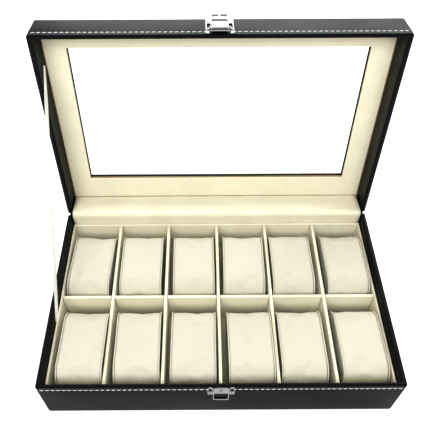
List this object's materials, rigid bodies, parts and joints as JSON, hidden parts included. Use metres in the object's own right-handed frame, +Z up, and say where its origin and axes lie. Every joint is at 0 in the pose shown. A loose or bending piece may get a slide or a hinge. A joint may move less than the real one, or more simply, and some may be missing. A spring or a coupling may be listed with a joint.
{
  "type": "watch box",
  "caption": "Rectangular watch box in black leatherette with cream lining, loose pillows in divided compartments, a hinged lid with a glass window, a stay ribbon and a small front hasp.",
  "frame": {"origin": "middle of the underside of the base, on the surface it stands on", "axes": "+X to the right along the front wall, +Y from the front wall to the hinge, +Z up; the lid stands open by 97 degrees at rest"},
  "size_m": [0.3, 0.2388, 0.2387],
  "materials": {
    "leatherette": "black grained PU leatherette, satin",
    "cream_suede": "cream suede-like velvet, matte",
    "glass": "clear float glass",
    "nickel": "bright nickel plate",
    "board": "raw fibreboard",
    "white_fabric": "white satin ribbon and thread",
    "underside_paper": "black flocked paper"
  },
  "bodies": {
    "base": {"underside_sheet": "underside_paper", "base_bottom_board": "board", "base_front_board": "board", "base_back_board": "board", "base_left_board": "board", "base_right_board": "board", "base_cover": "leatherette", "liner_floor": "cream_suede", "liner_front": "cream_suede", "liner_back": "cream_suede", "liner_left": "cream_suede", "liner_right": "cream_suede", "long_divider": "cream_suede", "cross_divider_1": "cream_suede", "cross_divider_2": "cream_suede", "cross_divider_3": "cream_suede", "cross_divider_4": "cream_suede", "cross_divider_5": "cream_suede", "keeper_plate": "nickel", "keeper_screw_left": "nickel", "keeper_screw_right": "nickel", "hinge_spine": "leatherette", "hinge_lining": "cream_suede", "stay_ribbon": "white_fabric"},
    "lid": {"lid_front_board": "board", "lid_back_board": "board", "lid_left_board": "board", "lid_right_board": "board", "lid_top_frame": "board", "lid_cover": "leatherette", "glass_pane": "glass", "lid_lining_frame": "cream_suede", "latch_plate": "nickel", "latch_screw_left": "nickel", "latch_screw_right": "nickel", "hasp_pin": "nickel"},
    "hasp": {"hasp": "nickel"},
    "pillow_1": {"pillow_1": "cream_suede"},
    "pillow_2": {"pillow_2": "cream_suede"},
    "pillow_3": {"pillow_3": "cream_suede"},
    "pillow_4": {"pillow_4": "cream_suede"},
    "pillow_5": {"pillow_5": "cream_suede"},
    "pillow_6": {"pillow_6": "cream_suede"},
    "pillow_7": {"pillow_7": "cream_suede"},
    "pillow_8": {"pillow_8": "cream_suede"},
    "pillow_9": {"pillow_9": "cream_suede"},
    "pillow_10": {"pillow_10": "cream_suede"},
    "pillow_11": {"pillow_11": "cream_suede"},
    "pillow_12": {"pillow_12": "cream_suede"}
  },
  "joints": [
    {"name": "lid_hinge", "type": "hinge", "parent": "base", "child": "lid", "pos_m": [0, 0.092, 0.05125], "axis": [-1, 0, 0], "range_deg": [-97, 0], "deforming": ["hinge_spine", "hinge_lining", "stay_ribbon"]},
    {"name": "hasp_hinge", "type": "hinge", "parent": "lid", "child": "hasp", "pos_m": [0, 0.11744, 0.23673], "axis": [-1, 0, 0], "range_deg": [-178, 0]},
    {"name": "pillow_1_lift", "type": "slide", "parent": "base", "child": "pillow_1", "axis": [0, 0, 1], "range_m": [0, 0.07]},
    {"name": "pillow_2_lift", "type": "slide", "parent": "base", "child": "pillow_2", "axis": [0, 0, 1], "range_m": [0, 0.07]},
    {"name": "pillow_3_lift", "type": "slide", "parent": "base", "child": "pillow_3", "axis": [0, 0, 1], "range_m": [0, 0.07]},
    {"name": "pillow_4_lift", "type": "slide", "parent": "base", "child": "pillow_4", "axis": [0, 0, 1], "range_m": [0, 0.07]},
    {"name": "pillow_5_lift", "type": "slide", "parent": "base", "child": "pillow_5", "axis": [0, 0, 1], "range_m": [0, 0.07]},
    {"name": "pillow_6_lift", "type": "slide", "parent": "base", "child": "pillow_6", "axis": [0, 0, 1], "range_m": [0, 0.07]},
    {"name": "pillow_7_lift", "type": "slide", "parent": "base", "child": "pillow_7", "axis": [0, 0, 1], "range_m": [0, 0.07]},
    {"name": "pillow_8_lift", "type": "slide", "parent": "base", "child": "pillow_8", "axis": [0, 0, 1], "range_m": [0, 0.07]},
    {"name": "pillow_9_lift", "type": "slide", "parent": "base", "child": "pillow_9", "axis": [0, 0, 1], "range_m": [0, 0.07]},
    {"name": "pillow_10_lift", "type": "slide", "parent": "base", "child": "pillow_10", "axis": [0, 0, 1], "range_m": [0, 0.07]},
    {"name": "pillow_11_lift", "type": "slide", "parent": "base", "child": "pillow_11", "axis": [0, 0, 1], "range_m": [0, 0.07]},
    {"name": "pillow_12_lift", "type": "slide", "parent": "base", "child": "pillow_12", "axis": [0, 0, 1], "range_m": [0, 0.07]}
  ]
}
